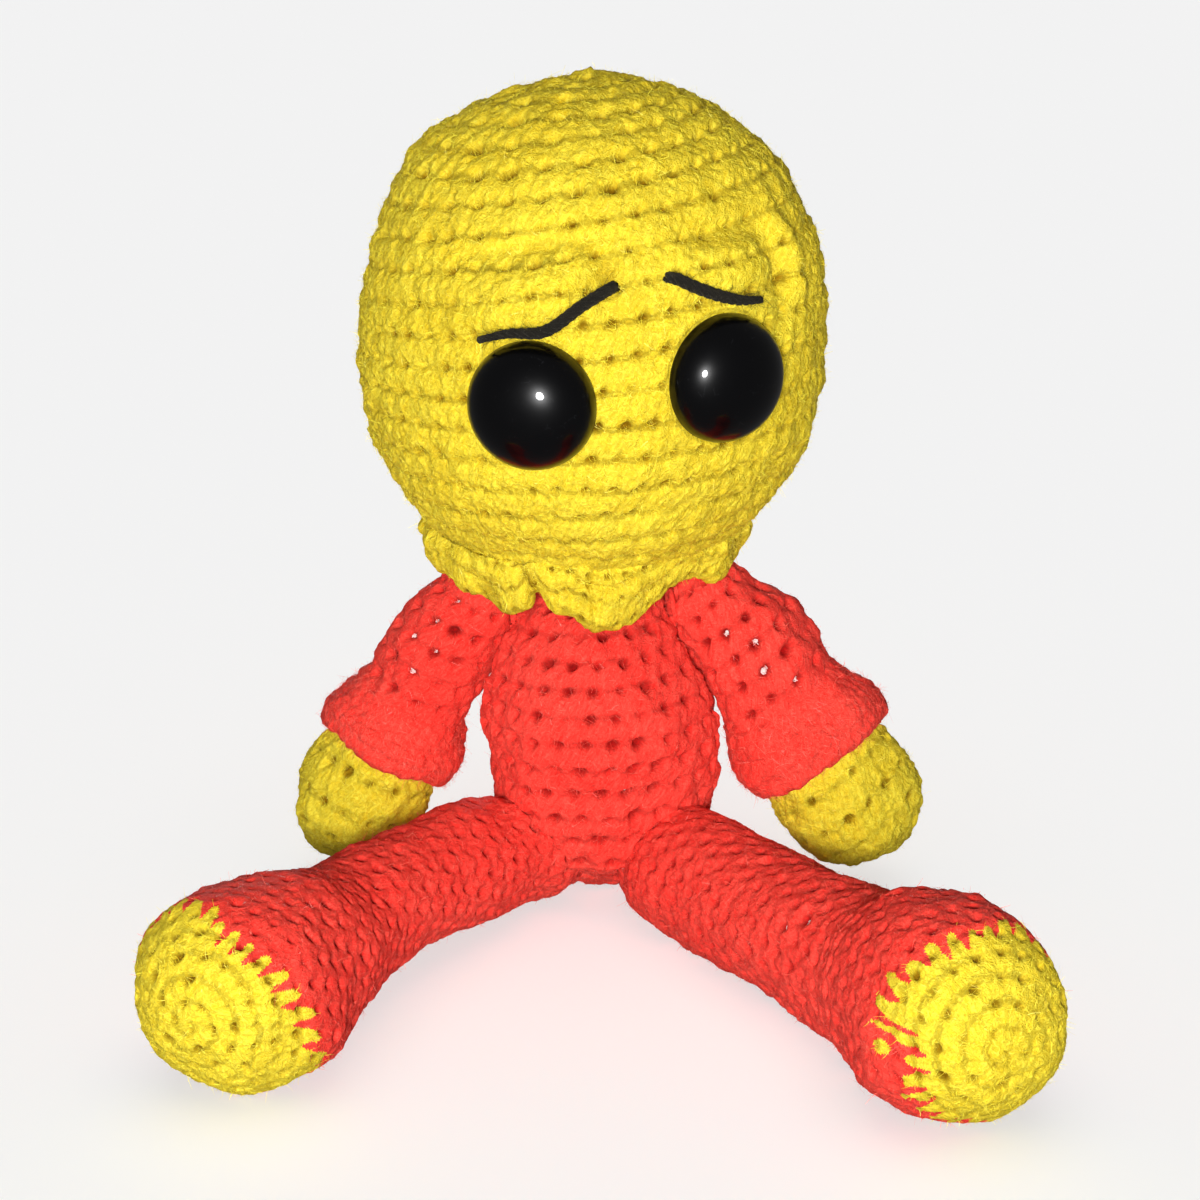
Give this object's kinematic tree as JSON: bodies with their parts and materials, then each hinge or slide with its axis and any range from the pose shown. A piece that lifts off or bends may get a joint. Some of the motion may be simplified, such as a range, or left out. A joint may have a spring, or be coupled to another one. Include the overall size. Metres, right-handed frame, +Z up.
{
  "type": "amigurumi doll",
  "caption": "Small seated crocheted doll, stuffed and sewn, with a large bald head, domed eyes, ruffled collar, soft limbs and round feet; head, arms and legs move at their seams.",
  "frame": {"origin": "on the flattened seat face, straight below the torso axis, on the surface the doll sits on", "axes": "+Z up, the face looks along -Y, +X towards the doll's left hand"},
  "size_m": [0.1683, 0.1593, 0.1736],
  "materials": {
    "yellow_yarn": "crocheted acrylic yarn, fuzzy matt",
    "red_yarn": "crocheted acrylic yarn, matt",
    "black_yarn": "fuzzy yarn strand",
    "black_gloss": "polished",
    "white_plastic": "moulded",
    "fibre_fill": "loose polyester fibre"
  },
  "bodies": {
    "torso": {"torso_cover": "red_yarn", "torso_stuffing": "fibre_fill"},
    "neck": {"neck_seam": "yellow_yarn", "collar": "yellow_yarn"},
    "head": {"head_cover": "yellow_yarn", "head_stuffing": "fibre_fill", "eye_left": "black_gloss", "eye_right": "black_gloss", "eye_washer_left": "white_plastic", "eye_washer_right": "white_plastic", "eyebrow_left": "black_yarn", "eyebrow_right": "black_yarn"},
    "shoulder_left": {"shoulder_seam_left": "red_yarn"},
    "arm_left": {"sleeve_left": "red_yarn", "cuff_left": "red_yarn", "hand_left": "yellow_yarn", "arm_stuffing_left": "fibre_fill"},
    "hip_left": {"hip_seam_left": "red_yarn"},
    "leg_left": {"leg_left": "red_yarn", "toe_cap_left": "yellow_yarn", "leg_stuffing_left": "fibre_fill"},
    "shoulder_right": {"shoulder_seam_right": "red_yarn"},
    "arm_right": {"sleeve_right": "red_yarn", "cuff_right": "red_yarn", "hand_right": "yellow_yarn", "arm_stuffing_right": "fibre_fill"},
    "hip_right": {"hip_seam_right": "red_yarn"},
    "leg_right": {"leg_right": "red_yarn", "toe_cap_right": "yellow_yarn", "leg_stuffing_right": "fibre_fill"}
  },
  "joints": [
    {"name": "head_nod", "type": "hinge", "parent": "torso", "child": "neck", "pos_m": [-0.0018, 0, 0.0724], "axis": [1, 0, 0], "range_deg": [-8, 8]},
    {"name": "head_turn", "type": "hinge", "parent": "neck", "child": "head", "pos_m": [-0.0018, 0, 0.0724], "axis": [0, 0, 1], "range_deg": [-30, 30]},
    {"name": "arm_left_swing", "type": "hinge", "parent": "torso", "child": "shoulder_left", "pos_m": [0.0247, 0, 0.0644], "axis": [-0.6516, -0.6292, -0.4238], "range_deg": [-6, 40]},
    {"name": "arm_left_raise", "type": "hinge", "parent": "shoulder_left", "child": "arm_left", "pos_m": [0.0247, 0, 0.0644], "axis": [0, -1, 0], "range_deg": [0, 30]},
    {"name": "leg_left_spread", "type": "hinge", "parent": "torso", "child": "hip_left", "pos_m": [0.0146, -0.0125, 0.0124], "axis": [0, 0, 1], "range_deg": [-12, 10]},
    {"name": "leg_left_lift", "type": "hinge", "parent": "hip_left", "child": "leg_left", "pos_m": [0.0146, -0.0125, 0.0124], "axis": [-0.8572, -0.515, 0], "range_deg": [-20, 15]},
    {"name": "arm_right_swing", "type": "hinge", "parent": "torso", "child": "shoulder_right", "pos_m": [-0.0266, 0, 0.0648], "axis": [-0.6018, 0.7172, 0.3513], "range_deg": [-6, 40]},
    {"name": "arm_right_raise", "type": "hinge", "parent": "shoulder_right", "child": "arm_right", "pos_m": [-0.0266, 0, 0.0648], "axis": [0, 1, 0], "range_deg": [0, 30]},
    {"name": "leg_right_spread", "type": "hinge", "parent": "torso", "child": "hip_right", "pos_m": [-0.0146, -0.0125, 0.0124], "axis": [0, 0, -1], "range_deg": [-12, 10]},
    {"name": "leg_right_lift", "type": "hinge", "parent": "hip_right", "child": "leg_right", "pos_m": [-0.0146, -0.0125, 0.0124], "axis": [-0.7071, 0.7071, 0], "range_deg": [-20, 15]}
  ]
}
